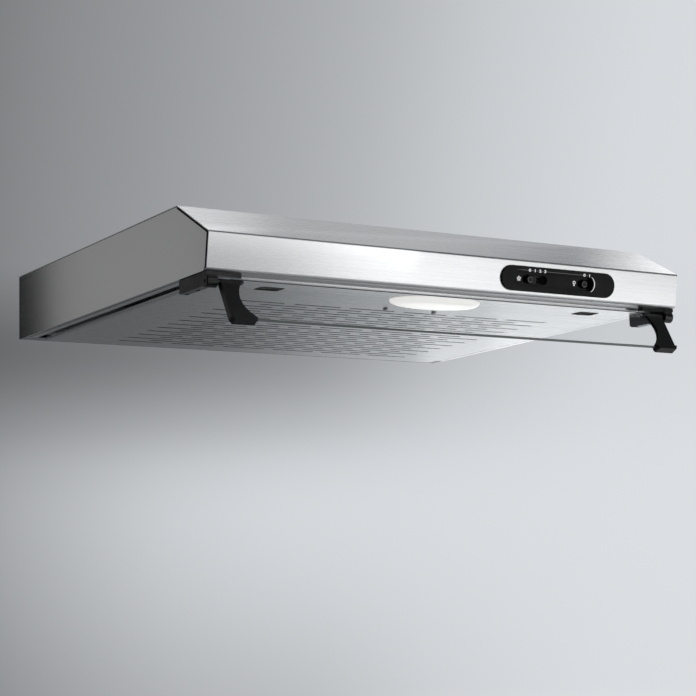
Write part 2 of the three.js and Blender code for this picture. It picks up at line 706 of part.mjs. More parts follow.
function filterTray() {
  const pan = cut(panBlock(0, TRAY.rim), panBlock(SHEET, TRAY.rim + 1));
  const through = [TRAY.floor - 1, TRAY.floor + SHEET + 1];
  const halfLatch = LATCH.width / 2;
  const latchHoles = Object.values(LATCH.xs).flatMap((x) => [
    prism('z', rounded(x - halfLatch, x + halfLatch, LATCH.front, LATCH.back, 4), ...through, 4),
    block([x - TONGUE.width / 2 - GAP, x + TONGUE.width / 2 + GAP], [TRAY.front - 1, TRAY.front + 2],
      [TONGUE.low - GAP, TONGUE.high + GAP]),
  ]);
  const screwHoles = Object.values(LENS_SCREWS.xs).map((x) => (
    prism('z', disc(x, LENS_SCREWS.y, LENS_SCREWS.shank + GAP), ...through, 4)));
  const rodHoles = Object.values(RETAINER.ys).map((y) => (
    prism('x', disc(y, RETAINER.z, RETAINER.radius + GAP), 0, WIDTH, 4)));
  const hingeHole = prism('x', disc(TRAY_HINGE.y, TRAY_HINGE.z, TRAY_HINGE.pin + GAP), 0, WIDTH, 6);
  const lensHole = prism('z', lensOutline(-GAP), ...through, 10);
  return cut(pan, ...slotCutters(), ...latchHoles, ...screwHoles, ...rodHoles, hingeHole, lensHole);
}

// A shallow white dish. It hangs through the tray's hole from a flange and a tab that lie on the floor.
function lampLens() {
  const floorTop = TRAY.floor + SHEET;
  const flangeLow = floorTop + GAP;
  const flangeHigh = flangeLow + LENS.wall;
  const domeSpread = 14;
  const dome = (inset) => {
    const geometry = new THREE.ExtrudeGeometry(lensOutline(inset), {
      depth: 3 * LENS.drop,
      bevelThickness: LENS.drop,
      bevelSize: domeSpread,
      bevelOffset: -domeSpread,
      bevelSegments: 4,
      curveSegments: 10,
    });
    return geometry.translate(0, 0, TRAY.floor + inset);
  };
  const shell = overlap(dome(0), block([0, WIDTH], [0, DEPTH], [TRAY.floor - 20, flangeHigh]));
  const flange = prism('z', lensOutline(-4), flangeLow, flangeHigh, 10);
  const tab = block([LENS_SCREWS.xs.left - 8, LENS_SCREWS.xs.right + 8], [88, 129],
    [flangeLow, flangeHigh]);
  const screwHoles = Object.values(LENS_SCREWS.xs).map((x) => (
    prism('z', disc(x, LENS_SCREWS.y, LENS_SCREWS.shank + GAP), -5, 5, 4)));
  return cut(join(shell, flange, tab), dome(LENS.wall), ...screwHoles);
}

// A finger cup in the tray's opening, with flanges on the tray's floor and a tongue through the front.
function latch() {
  const floorTop = TRAY.floor + SHEET;
  const halfCup = LATCH.width / 2 - 1.5;
  const cupFront = LATCH.front + 1 - LATCH.back;
  const cupBack = -7.5;
  const top = TONGUE.high;
  const cup = prism('z', rounded(-halfCup, halfCup, cupFront, cupBack, 2.5), TRAY.floor + 0.5, top, 4);
  const flange = block([-halfCup - 4, halfCup + 4], [cupFront - 4, 2],
    [floorTop + GAP, floorTop + GAP + 1.5]);
  const slide = block([-TONGUE.width / 2, TONGUE.width / 2], [TONGUE.tip - LATCH.back, cupFront + 1],
    [TONGUE.low, TONGUE.high]);
  const hollow = rounded(-halfCup + 1.5, halfCup - 1.5, cupFront + 1.5, cupBack - 1.5, 1.5);
  const finger = prism('z', hollow, TRAY.floor - 1, top - 1.5, 4);
  return cut(join(cup, flange, slide), finger);
}

// A pan head screw that points up, with its head's underside at z = 0.
function screw(shank, head, headHeight, length) {
  return turned([
    [0, -headHeight],
    [head * 0.7, -headHeight],
    [head, -headHeight * 0.4],
    [head, 0],
    [shank, 0],
    [shank, length - 1],
    [0, length],
  ], 12);
}

function addFilterPanel() {
  const floorTop = TRAY.floor + SHEET;
  addPart('filter_tray', filterTray(), 'steel');
  addPart('lamp_lens', lampLens(), 'white');
  const matEdge = TRAY.left + SHEET + 3;
  addPart('filter_mat', block([matEdge, WIDTH - matEdge], [136, TRAY.back - 12],
    [floorTop + GAP, RETAINER.z - RETAINER.radius - GAP]), 'felt');
  for (const [name, y] of Object.entries(RETAINER.ys)) {
    const rod = prism('x', disc(0, 0, RETAINER.radius), TRAY.left - 0.8, WIDTH - TRAY.left + 0.8, 4);
    addPart(`mat_retainer_${name}`, rod, 'zinc', [0, y, RETAINER.z]);
  }
  for (const [name, x] of Object.entries(LENS_SCREWS.xs)) {
    const place = [x, LENS_SCREWS.y, TRAY.floor - GAP];
    addPart(`lens_screw_${name}`, screw(LENS_SCREWS.shank, 3, 1.6, 8), 'zinc', place);
  }
  for (const [name, x] of Object.entries(LATCH.xs)) {
    addPart(`latch_${name}`, latch(), 'black', [x, LATCH.back, 0]);
  }
  addPair('tray_pin', prism('x', disc(TRAY_HINGE.y, TRAY_HINGE.z, TRAY_HINGE.pin), 12.5, 28.5, 6), 'zinc');
}

// ---- Visor --------------------------------------------------------------------------------------

// A wedge under the lip, a block under the side sheet and a boss round the pivot line.
function visorBracket() {
  const wedge = polygon([[1.5, 9], [42, 14.6], [44, 16.2], [44, 20], [1.5, 20]]);
  const section = polygon([[2, -0.5], [15.2, -0.5], [15.2, -9.5], [11.5, -14.5], [2, -14.5]]);
  const plan = new THREE.Shape();
  plan.moveTo(2, 8);
  plan.lineTo(13.6, 8);
  plan.lineTo(13.6, 22);
  plan.lineTo(15.2, 25);
  plan.absarc(9.2, 69, 6, 0, Math.PI / 2);
  plan.absarc(8, 69, 6, Math.PI / 2, Math.PI);
  const side = new THREE.Shape();
  side.moveTo(10, -0.5);
  side.lineTo(10, -14.5);
  side.lineTo(70, -14.5);
  side.absarc(70, -9.5, 5, -Math.PI / 2, 0);
  side.lineTo(75, -0.5);
  const profile = overlap(prism('y', section, 8, 80), prism('x', side, 0, 20, 3));
  const arm = overlap(profile, prism('z', plan, -20, 0, 3));
  const boss = prism('x', disc(PIVOT.y, PIVOT.z, 6.5), 2.6, 13.6, 8);
  const pinHole = prism('x', disc(PIVOT.y, PIVOT.z, PIVOT.pin + GAP), 0, 20, 5);
  const screwHoles = Object.values(BRACKET_SCREWS.ys).flatMap((y) => [
    prism('z', disc(BRACKET_SCREWS.x, y, BRACKET_SCREWS.shank + GAP), -20, 1, 4),
    prism('z', disc(BRACKET_SCREWS.x, y, BRACKET_SCREWS.head + GAP), -20, -8, 5),
  ]);
  return cut(join(prism('z', wedge, -4.3, -0.3), arm, boss), pinHole, ...screwHoles);
}

// A flat arm with a curved inner edge, a barrel along the pivot line, a thick foot and a glass slot.
// It is drawn hanging straight down from the pivot line.
function visorArm() {
  const outer = 17.5;
  const foot = -49.5;
  const outline = new THREE.Shape();
  outline.moveTo(outer, 0);
  outline.lineTo(outer, -45.5);
  outline.lineTo(20, foot);
  outline.lineTo(43.5, foot);
  outline.absarc(43.5, foot + 3.2, 3.2, -Math.PI / 2, 0.3);
  outline.lineTo(44.8, -41.5);
  outline.bezierCurveTo(31, -31, 30.5, -14, 41.5, 0);
  const halfThickness = ARM_THICKNESS / 2;
  const ledge = [[outer, -44.5], [outer, -45.5], [20, foot], [43, foot], [45.3, -47.5], [45.3, -44.5]];
  const barrel = prism('x', disc(0, 0, halfThickness), 14.5, 43.5, 6);
  const slotHalf = GLASS.thickness / 2 + GAP;
  const slot = block([GLASS.left - GAP, 60], [-slotHalf, slotHalf], [GLASS.bottom - GAP, 10]);
  const bore = prism('x', disc(0, 0, PIVOT.pin + GAP), 10, 23, 5);
  const whole = join(
    prism('y', outline, -halfThickness, halfThickness, 8),
    prism('y', polygon(ledge), -halfThickness - 2.2, 0),
    barrel,
  );
  return cut(whole, slot, bore);
}

function addVisor() {
  const visor = new THREE.Group();
  visor.position.set(0, PIVOT.y, PIVOT.z);
  visor.rotation.x = -THREE.MathUtils.degToRad(VISOR_LEAN);
  hood.add(visor);
  const half = GLASS.thickness / 2;
  const pane = block([GLASS.left, GLASS.right], [-half, half], [GLASS.bottom, GLASS.top]);
  addPart('visor_glass', pane, 'glass', [0, 0, 0], visor);
  addPair('visor_arm', visorArm(), 'black', visor);
  addPair('visor_bracket', visorBracket(), 'black');
  addPair('pivot_pin', prism('x', disc(PIVOT.y, PIVOT.z, PIVOT.pin), 3, 22, 5), 'zinc');
  for (const [name, y] of Object.entries(BRACKET_SCREWS.ys)) {
    const piece = screw(BRACKET_SCREWS.shank, BRACKET_SCREWS.head, 1.6, 13);
    piece.translate(BRACKET_SCREWS.x, y, -8 - GAP);
    addPair(`bracket_screw_${name}`, piece, 'zinc');
  }
}

addBody();
addOutlet();
addBlower();
addTerminals();
addLamp();
addControls();
addFilterPanel();
addVisor();

export default hood;
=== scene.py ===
"""Looks of the under cabinet range hood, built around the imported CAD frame. Metres, +Z up."""

import math

import bmesh
import bpy
from mathutils import Matrix, Vector

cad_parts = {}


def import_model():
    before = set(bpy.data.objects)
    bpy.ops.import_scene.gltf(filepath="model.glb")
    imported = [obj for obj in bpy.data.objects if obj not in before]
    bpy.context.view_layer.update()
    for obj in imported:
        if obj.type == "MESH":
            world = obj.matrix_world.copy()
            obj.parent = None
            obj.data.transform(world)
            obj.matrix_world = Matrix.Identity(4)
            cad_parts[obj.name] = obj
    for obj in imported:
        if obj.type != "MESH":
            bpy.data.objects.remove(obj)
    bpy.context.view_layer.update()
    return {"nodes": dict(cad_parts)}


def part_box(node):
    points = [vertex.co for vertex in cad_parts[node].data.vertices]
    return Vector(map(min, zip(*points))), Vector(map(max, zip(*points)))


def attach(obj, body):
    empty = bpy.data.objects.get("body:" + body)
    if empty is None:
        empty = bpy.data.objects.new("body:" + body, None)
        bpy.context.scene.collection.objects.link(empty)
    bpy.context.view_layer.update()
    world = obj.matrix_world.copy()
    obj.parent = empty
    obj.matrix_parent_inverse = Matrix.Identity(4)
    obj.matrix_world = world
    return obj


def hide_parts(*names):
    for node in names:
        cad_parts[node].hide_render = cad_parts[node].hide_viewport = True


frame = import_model()
NODES = frame["nodes"]
MM = 0.001

# ---- Camera, lights and floor --------------------------------------------------------------------

CAMERA_PLACE = Vector((-1.1073, -1.8341, -0.4090))
CAMERA_YAW = 0.555
CAMERA_PITCH = 0.143
CAMERA_ROLL = -0.0273
CAMERA_LENS = 94.84
SENSOR_WIDTH = 36
CLIP_NEAR, CLIP_FAR = 0.01, 60
ROOM_LEVEL = 0.12
ROOM_TINT = (0.97, 1.0, 1.04, 1)
FLOOR_HEIGHT = -1.05
FLOOR_RADIUS = 3
FLOOR_COLOUR = (0.72, 0.73, 0.74, 1)
FLOOR_ROUGHNESS = 0.8


def camera():
    """Looks up and to the right at the hood, from below its front left corner."""
    cos_pitch = math.cos(CAMERA_PITCH)
    ahead = Vector((
        math.sin(CAMERA_YAW) * cos_pitch,
        math.cos(CAMERA_YAW) * cos_pitch,
        math.sin(CAMERA_PITCH),
    ))
    level = Vector((math.cos(CAMERA_YAW), -math.sin(CAMERA_YAW), 0))
    upright = level.cross(ahead)
    right = level * math.cos(CAMERA_ROLL) + upright * math.sin(CAMERA_ROLL)
    up = right.cross(ahead)
    data = bpy.data.cameras.new("camera")
    data.lens = CAMERA_LENS
    data.sensor_width = SENSOR_WIDTH
    data.clip_start = CLIP_NEAR
    data.clip_end = CLIP_FAR
    obj = bpy.data.objects.new("camera", data)
    turn = Matrix((right, up, -ahead)).transposed().to_4x4()
    obj.matrix_world = Matrix.Translation(CAMERA_PLACE) @ turn
    bpy.context.scene.collection.objects.link(obj)
    bpy.context.scene.camera = obj


def softbox(name, place, target, size, power):
    """A rectangular light that the camera doesn't see, directly or through glass."""
    data = bpy.data.lights.new(name, "AREA")
    data.shape = "RECTANGLE"
    data.size, data.size_y = size
    data.energy = power
    obj = bpy.data.objects.new(name, data)
    obj.location = place
    obj.visible_camera = False
    obj.visible_transmission = False
    obj.rotation_euler = (Vector(target) - Vector(place)).to_track_quat("-Z", "Y").to_euler()
    bpy.context.scene.collection.objects.link(obj)


class Sky:
    """The studio's walls, painted by direction."""

    def __init__(self):
        world = bpy.data.worlds.new("studio")
        world.use_nodes = True
        bpy.context.scene.world = world
        self.tree = world.node_tree
        self.tree.nodes.clear()
        split = self.node("ShaderNodeSeparateXYZ")
        self.link(self.node("ShaderNodeTexCoord").outputs["Generated"], split.inputs[0])
        self.x, self.y, self.z = split.outputs

    def node(self, kind):
        return self.tree.nodes.new(kind)

    def link(self, source, target):
        self.tree.links.new(source, target)

    def levels(self, source, stops, smooth="B_SPLINE"):
        """Grey levels against one component of the direction, as rising (component, level) stops."""
        low, high = stops[0][0], stops[-1][0]
        reach = self.node("ShaderNodeMapRange")
        reach.inputs["From Min"].default_value = low
        reach.inputs["From Max"].default_value = high
        ramp = self.node("ShaderNodeValToRGB")
        ramp.color_ramp.interpolation = smooth
        elements = ramp.color_ramp.elements
        while len(elements) < len(stops):
            elements.new(0.5)
        for element, (position, level) in zip(elements, stops):
            element.position = (position - low) / (high - low)
            element.color = (level, level, level, 1)
        self.link(source, reach.inputs["Value"])
        self.link(reach.outputs[0], ramp.inputs["Fac"])
        return ramp.outputs["Color"]

    def blend(self, first, second, share, how="MIX"):
        """Mixes the second colour into the first by its share. Each may be a value or a socket."""
        mix = self.node("ShaderNodeMixRGB")
        mix.blend_type = how
        for socket, value in zip(mix.inputs, (share, first, second)):
            if isinstance(value, (tuple, float)):
                socket.default_value = value
            else:
                self.link(value, socket)
        return mix.outputs[0]

    def show(self, colour):
        background = self.node("ShaderNodeBackground")
        self.link(colour, background.inputs["Color"])
        self.link(background.outputs[0], self.node("ShaderNodeOutputWorld").inputs["Surface"])


def world():
    """A dim room with a pale wall behind the hood, darker to the left, under the hood's shadow.

    Below the horizon the wall's foot brightens to the right, where the underside reflects it.
    """
    sky = Sky()
    upper = sky.levels(sky.x, [
        (-0.3, 0.01), (0.0, 0.02), (0.2, 0.11), (0.34, 0.245), (0.41, 0.33), (0.46, 0.385),
        (0.52, 0.49), (0.57, 0.61), (0.635, 0.70), (0.8, 0.76),
    ])
    lower = sky.levels(sky.x, [
        (-0.3, 0.01), (0.0, 0.02), (0.2, 0.14), (0.34, 0.36), (0.39, 0.51), (0.44, 0.64),
        (0.5, 0.71), (0.6, 0.72), (0.8, 0.76),
    ])
    height = sky.levels(sky.z, [(0.05, 1), (0.08, 0.85), (0.1, 0.5), (0.13, 0.1), (0.15, 0)])
    wall = sky.blend(upper, lower, height)
    shadow = sky.levels(sky.z, [
        (-0.05, 0.66), (0.0, 0.86), (0.05, 1), (0.085, 0.98), (0.115, 0.72), (0.14, 0.5),
        (0.16, 0.6), (0.19, 1),
    ])
    reach = sky.levels(sky.x, [(0.34, 1), (0.5, 0.9), (0.56, 0.35), (0.64, 0)])
    wall = sky.blend(wall, shadow, reach, "MULTIPLY")
    ahead = sky.levels(sky.y, [(0.45, 0), (0.65, 1)], "EASE")
    foot = sky.levels(sky.x, [
        (0.4, 0.09), (0.455, 0.13), (0.48, 0.28), (0.5, 0.48), (0.52, 0.7), (0.54, 0.9),
        (0.56, 1.0), (0.8, 1.0),
    ])
    deep = sky.levels(sky.z, [(-0.55, 0), (-0.38, 1)], "EASE")
    dim = (ROOM_LEVEL, ROOM_LEVEL, ROOM_LEVEL, 1)
    room = sky.blend(dim, foot, sky.blend(ahead, deep, 1.0, "MULTIPLY"))
    above = sky.levels(sky.z, [(-0.1, 0), (-0.04, 1)], "EASE")
    room = sky.blend(room, wall, sky.blend(ahead, above, 1.0, "MULTIPLY"))
    sky.show(sky.blend(room, ROOM_TINT, 1.0, "MULTIPLY"))


MIDDLE = (0, 0, -0.04)
SOFTBOXES = (
    # name, place, target and size in m, power in W
    ("fascia_right", (1.5, -2.1, -0.42), MIDDLE, (1.0, 0.9), 3.9),
    ("fascia_middle", (1.0, -2.4, -0.42), MIDDLE, (1.0, 0.9), 1.25),
    ("fascia_left", (0.5, -2.6, -0.42), MIDDLE, (0.8, 0.9), 0.1),
    ("fascia_brow", (-0.14, -0.38, -0.016), (-0.14, 0, -0.016), (0.3, 0.08), 0.05),
    ("low_front", (1.0, -1.6, -1.0), MIDDLE, (1.2, 0.7), 1.5),
    ("slope_right", (1.0, 1.2, 1.5), MIDDLE, (1.0, 1.0), 1.0),
    ("slope_left", (0.5, 1.3, 1.8), MIDDLE, (0.9, 0.9), 3.0),
    ("slope_end", (1.8, 0.8, 1.06), (0.2, -0.25, -0.03), (0.4, 0.6), 1.5),
    ("underside_right", (1.92, 2.1, -0.42), MIDDLE, (0.6, 0.35), 0.75),
    ("underside_end", (2.08, 2.0, -0.42), MIDDLE, (0.6, 0.35), 0.6),
    ("below", (0.6, -0.3, -1.0), MIDDLE, (1.2, 1.0), 1.4),
    ("side_left", (-0.55, 0.44, 0.06), (0, 0.44, 0.04), (0.58, 0.34), 0.175),
    ("arm_right", (0.68, -0.65, -0.38), (0.28, -0.29, -0.11), (0.3, 0.3), 0.14),
)


def lights():
    """Large soft boxes, each placed where one face of the hood reflects it towards the camera."""
    for name, place, target, size, power in SOFTBOXES:
        softbox(name, place, target, size, power)


def floor():
    """A plain pale disc, well below the hood."""
    bpy.ops.mesh.primitive_circle_add(
        vertices=96, radius=FLOOR_RADIUS, fill_type="NGON", location=(0, 0, FLOOR_HEIGHT)
    )
    disc = bpy.context.object
    disc.name = "floor"
    material = bpy.data.materials.new("floor")
    material.use_nodes = True
    shader = material.node_tree.nodes["Principled BSDF"]
    shader.inputs["Base Color"].default_value = FLOOR_COLOUR
    shader.inputs["Roughness"].default_value = FLOOR_ROUGHNESS
    disc.data.materials.append(material)


# ---- Materials -----------------------------------------------------------------------------------

STEEL = (0.74, 0.745, 0.75)
NEAR_BLACK = (0.006, 0.0063, 0.007)
# Painted shade for the upright walls inside the filter tray's slots: near black, and rough.
SLOT_SHADE_COLOUR = (0.012, 0.012, 0.013, 1)
SLOT_SHADE_ROUGHNESS = 0.6
UPRIGHT_BELOW = 0.5
SHEET_DEPTH = 1.05
NOISE_LOW, NOISE_HIGH = 0.3, 0.7
SCRATCHES_ACROSS, SCRATCHES_ALONG = 3600.0, 9.0
BANDS_ACROSS, BANDS_ALONG = 900.0, 3.0


class Shade:
    """A principled material and the few nodes that give it its detail."""

    def __init__(self, name, colour, roughness, metallic=0.0):
        self.material = bpy.data.materials.new(name)
        self.material.use_nodes = True
        self.tree = self.material.node_tree
        self.shader = self.tree.nodes["Principled BSDF"]
        self.set("Base Color", (*colour, 1))
        self.set("Roughness", roughness)
        self.set("Metallic", metallic)
        self.colour = colour
        self.roughness = roughness
        self.place = self.tree.nodes.new("ShaderNodeTexCoord").outputs["Object"]

    def set(self, socket, value):
        self.shader.inputs[socket].default_value = value

    def node(self, kind, **inputs):
        made = self.tree.nodes.new(kind)
        for socket, value in inputs.items():
            made.inputs[socket.replace("_", " ")].default_value = value
        return made

    def link(self, source, target):
        self.tree.links.new(source, target)

    def noise(self, stretch, detail=2.0):
        """Noise with its own frequency along each axis, in cycles per metre."""
        mapping = self.node("ShaderNodeMapping", Scale=stretch)
        noise = self.node("ShaderNodeTexNoise", Scale=1.0, Detail=detail)
        self.link(self.place, mapping.inputs["Vector"])
        self.link(mapping.outputs[0], noise.inputs["Vector"])
        return noise.outputs["Fac"]

    def vary_roughness(self, source, spread):
        """Lets the roughness wander by spread either way, as the noise does."""
        reach = self.node("ShaderNodeMapRange", From_Min=NOISE_LOW, From_Max=NOISE_HIGH)
        reach.inputs["To Min"].default_value = self.roughness - spread
        reach.inputs["To Max"].default_value = self.roughness + spread
        self.link(source, reach.inputs["Value"])
        self.link(reach.outputs[0], self.shader.inputs["Roughness"])

    def vary_colour(self, source, spread):
        """Lets the colour darken and lighten by a share of itself, as the noise does."""
        ramp = self.node("ShaderNodeValToRGB")
        ramp.color_ramp.elements[0].position = NOISE_LOW
        ramp.color_ramp.elements[1].position = NOISE_HIGH
        for element, share in zip(ramp.color_ramp.elements, (1 - spread, 1 + spread)):
            element.color = (*[min(1.0, c * share) for c in self.colour], 1)
        self.link(source, ramp.inputs["Fac"])
        self.link(ramp.outputs["Color"], self.shader.inputs["Base Color"])

    def bump(self, source, height, strength):
        """Relief of a height in metres."""
        bump = self.node("ShaderNodeBump", Distance=height, Strength=strength)
        self.link(source, bump.inputs["Height"])
        self.link(bump.outputs["Normal"], self.shader.inputs["Normal"])


def brushed(name, colour, roughness, along, anisotropy=0.8):
    """Steel brushed along one axis: long fine scratches, and highlights that stretch across them."""
    shade = Shade(name, colour, roughness, 1.0)
    fine, coarse = [SCRATCHES_ACROSS] * 3, [BANDS_ACROSS] * 3
    fine["xyz".index(along)] = SCRATCHES_ALONG
    coarse["xyz".index(along)] = BANDS_ALONG
    scratches = shade.noise(fine, 3)
    bands = shade.noise(coarse, 3)
    shade.vary_roughness(bands, 0.015)
    shade.vary_colour(bands, 0.01)
    shade.bump(scratches, 0.00001, 0.05)
    tangent = shade.node("ShaderNodeTangent")
    tangent.direction_type = "RADIAL"
    tangent.axis = along.upper()
    shade.link(tangent.outputs[0], shade.shader.inputs["Tangent"])
    shade.set("Anisotropic", anisotropy)
    return shade.material


def slotted(name, colour, roughness, along):
    """Brushed steel whose slot walls, the upright faces within the sheet, are rough and painted near
    black as shade.
    """
    material = brushed(name, colour, roughness, along)
    tree = material.node_tree
    shader = tree.nodes["Principled BSDF"]
    place = tree.nodes.new("ShaderNodeTexCoord")
    facing = tree.nodes.new("ShaderNodeSeparateXYZ")
    height = tree.nodes.new("ShaderNodeSeparateXYZ")
    tree.links.new(place.outputs["Normal"], facing.inputs[0])
    tree.links.new(place.outputs["Object"], height.inputs[0])

    def measure(operation, source, amount):
        node = tree.nodes.new("ShaderNodeMath")
        node.operation = operation
        tree.links.new(source, node.inputs[0])
        if isinstance(amount, float):
            node.inputs[1].default_value = amount
        else:
            tree.links.new(amount, node.inputs[1])
        return node.outputs[0]

    tilt = measure("ABSOLUTE", facing.outputs["Z"], 0.0)
    upright = measure("LESS_THAN", tilt, UPRIGHT_BELOW)
    sheet_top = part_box("filter_tray")[0][2] + SHEET_DEPTH * MM
    low = measure("LESS_THAN", height.outputs["Z"], sheet_top)
    # The slot walls, upright faces low in the sheet, which get the painted shade.
    slot_shade = measure("MULTIPLY", upright, low)
    for socket, value in (("Base Color", SLOT_SHADE_COLOUR), ("Roughness", SLOT_SHADE_ROUGHNESS)):
        source = shader.inputs[socket].links[0].from_socket
        mix = tree.nodes.new("ShaderNodeMix")
        mix.data_type = "RGBA" if socket == "Base Color" else "FLOAT"
        sockets = [i for i in mix.inputs if i.enabled]
        tree.links.new(slot_shade, sockets[0])
        tree.links.new(source, sockets[1])
        sockets[2].default_value = value
        tree.links.new([o for o in mix.outputs if o.enabled][0], shader.inputs[socket])
    return material


def galvanised():
    """Zinc-coated sheet with its spangle."""
    shade = Shade("zinc", (0.5, 0.52, 0.53), 0.45, 1.0)
    spangle = shade.node("ShaderNodeTexVoronoi", Scale=140.0)
    shade.link(shade.place, spangle.inputs["Vector"])
    shade.vary_colour(spangle.outputs["Distance"], 0.12)
    shade.vary_roughness(shade.noise([60.0] * 3, 4), 0.08)
    return shade.material


def moulded(name, colour, roughness, grain=0.00002):
    """Injection moulded plastic with a fine spark-eroded grain."""
    shade = Shade(name, colour, roughness)
    shade.bump(shade.noise([2600.0] * 3, 2), grain, 0.6)
    patches = shade.noise([70.0] * 3, 3)
    shade.vary_roughness(patches, 0.05)
    shade.vary_colour(patches, 0.08)
    return shade


def satin(name, colour, roughness, gloss):
    """Moulded plastic with a weaker reflection than bare plastic has."""
    shade = moulded(name, colour, roughness)
    shade.set("Specular IOR Level", gloss)
    return shade.material


def opal(name, glow):
    """Milky plastic or glass, lit from inside."""
    shade = moulded(name, (0.9, 0.9, 0.88), 0.3, 0.000004)
    shade.set("Subsurface Weight", 0.25)
    shade.set("Subsurface Scale", 0.004)
    shade.set("Emission Color", (1.0, 0.99, 0.96, 1))
    shade.set("Emission Strength", glow)
    return shade.material


def clear_glass():
    """Clear float glass, a little uneven."""
    shade = Shade("visor_glass", (0.985, 0.995, 0.992), 0.02)
    shade.set("Transmission Weight", 1.0)
    shade.set("IOR", 1.5)
    shade.vary_roughness(shade.noise([18.0] * 3, 3), 0.015)
    return shade.material


def glass_edge():
    """The ground and polished rim of the pane: pale green, and cloudy."""
    shade = Shade("visor_glass_edge", (0.3, 0.33, 0.325), 0.25)
    shade.vary_colour(shade.noise([9.0, 400.0, 400.0], 3), 0.1)
    return shade.material


def felt():
    """Needled polyester fibres."""
    shade = Shade("felt", (0.78, 0.77, 0.73), 0.95)
    fibres = shade.noise([900.0, 900.0, 900.0], 6)
    shade.bump(fibres, 0.0004, 0.9)
    shade.vary_colour(shade.noise([260.0] * 3, 4), 0.12)
    return shade.material


def turned_brass():
    """Brass with the fine rings of a lathe tool."""
    shade = Shade("brass", (0.78, 0.6, 0.3), 0.32, 1.0)
    rings = shade.noise([40.0, 40.0, 2400.0], 2)
    shade.vary_roughness(rings, 0.07)
    shade.bump(rings, 0.00001, 0.4)
    return shade.material


def screw_metal():
    """Nickel-plated steel, a little worn."""
    shade = Shade("screw_metal", (0.6, 0.61, 0.62), 0.3, 1.0)
    wear = shade.noise([500.0] * 3, 4)
    shade.vary_roughness(wear, 0.1)
    shade.vary_colour(wear, 0.15)
    return shade.material


def print_and_highlight_material(name, level, glow):
    """Thick printing on plastic, also used for painted highlights, with a faint painted glow so that
    it reads in soft light.
    """
    shade = Shade(name, (level, level, level), 0.5)
    shade.vary_colour(shade.noise([1500.0] * 3, 2), 0.06)
    shade.set("Emission Color", (1, 1, 1, 1))
    shade.set("Emission Strength", glow)
    return shade.material


MATERIALS = {
    "steel_x": brushed("steel_brushed_x", STEEL, 0.27, "x"),
    "steel_y": brushed("steel_brushed_y", STEEL, 0.22, "y", 0.9),
    "steel_slotted": slotted("steel_slotted", STEEL, 0.27, "x"),
    "zinc": galvanised(),
    "black": moulded("black_plastic", NEAR_BLACK, 0.3).material,
    "satin_black": satin("bezel_plastic", (0.006, 0.0062, 0.0066), 0.42, 0.2),
    "gloss_black": satin("knob_plastic", (0.004, 0.0042, 0.0046), 0.25, 0.2),
    # Black latch plastic, made darker than the other black plastic as painted shade in the latch
    # openings.
    "latch_black_and_shade": moulded("latch_plastic", (0.003, 0.003, 0.003), 0.55).material,
    "grey": moulded("grey_plastic", (0.05, 0.052, 0.056), 0.5).material,
    "white": moulded("white_plastic", (0.8, 0.8, 0.77), 0.35).material,
    "lens": opal("lamp_lens", 0.72),
    "lamp": opal("lamp_bulb", 0.1),
    "glass": clear_glass(),
    "glass_edge": glass_edge(),
    "felt": felt(),
    "brass": turned_brass(),
    "screw": screw_metal(),
    # White printing, which also draws the painted highlight arc on the bezel's rim; both have a
    # painted glow.
    "white_print_and_highlight": print_and_highlight_material("printed_white_and_highlight", 0.82, 0.5),
    # Grey painted highlights on the bezel's rim and round the buttons' pips, with a painted glow.
    "highlight_grey": print_and_highlight_material("painted_highlight_grey", 0.13, 0.1),
}

# ---- CAD nodes that keep their shape -------------------------------------------------------------

WELD_DISTANCE = 0.01
SMOOTHING_WEIGHT = 80
CREASE_ANGLE = 30.0


def dress(material, nodes, bevel=0.0, segments=2):
    """Gives CAD nodes their material, and softens their sharp edges by bevel, in mm."""
    for node in nodes:
        obj = NODES[node]
        obj.data.materials.clear()
        obj.data.materials.append(MATERIALS[material])
        weld = obj.modifiers.new("weld", "WELD")
        weld.merge_threshold = WELD_DISTANCE * MM
        if bevel:
            edge = obj.modifiers.new("bevel", "BEVEL")
            edge.width = bevel * MM
            edge.segments = segments
            edge.limit_method = "ANGLE"
            edge.angle_limit = math.radians(CREASE_ANGLE)
        obj.data.polygons.foreach_set("use_smooth", [True] * len(obj.data.polygons))
        smooth = obj.modifiers.new("smooth", "WEIGHTED_NORMAL")
        smooth.keep_sharp = True
        smooth.weight = SMOOTHING_WEIGHT


dress("steel_x", ("canopy", "side_rail_left", "side_rail_right"), 0.3)
dress("steel_slotted", ("filter_tray",))
TRAY_FACES = NODES["filter_tray"].data.polygons
TRAY_FACES.foreach_set("use_smooth", [False] * len(TRAY_FACES))
dress("steel_y", ("side_panel_left", "side_panel_right"), 0.3)
dress("black", (
    "visor_arm_left", "visor_arm_right", "visor_bracket_left", "visor_bracket_right",
), 0.5, 3)
dress("satin_black", ("control_bezel",), 0.6, 3)
dress("gloss_black", ("speed_knob", "light_knob"), 0.3)
dress("latch_black_and_shade", ("latch_left", "latch_right"))
dress("black", ("outlet_collar", "impeller", "cable_gland"))
dress("zinc", (
    "back_panel", "flap_pin", "motor_plate", "motor_body", "lamp_bracket",
    "mat_retainer_front", "mat_retainer_rear",
))
dress("grey", (
    "flap_front", "flap_rear", "scroll_housing", "inlet_ring",
    "speed_switch", "light_switch", "control_housing",
))
dress("white", ("capacitor", "terminal_box", "terminal_cover", "terminal_block", "lamp_socket"))
dress("screw", (
    "motor_shaft", "lens_screw_left", "lens_screw_right", "tray_pin_left", "tray_pin_right",
    "pivot_pin_left", "pivot_pin_right", "bracket_screw_front_left", "bracket_screw_front_right",
    "bracket_screw_rear_left", "bracket_screw_rear_right",
))
dress("brass", ("impeller_nut",))
dress("felt", ("filter_mat",))
dress("lens", ("lamp_lens",))
dress("lamp", ("lamp_bulb",))

# ---- Detailed pieces -----------------------------------------------------------------------------

# Sizes are in mm. The fascia's frame has its origin at the foot of the fascia's left end, X to the
# right, Z up the fascia and Y into the body.

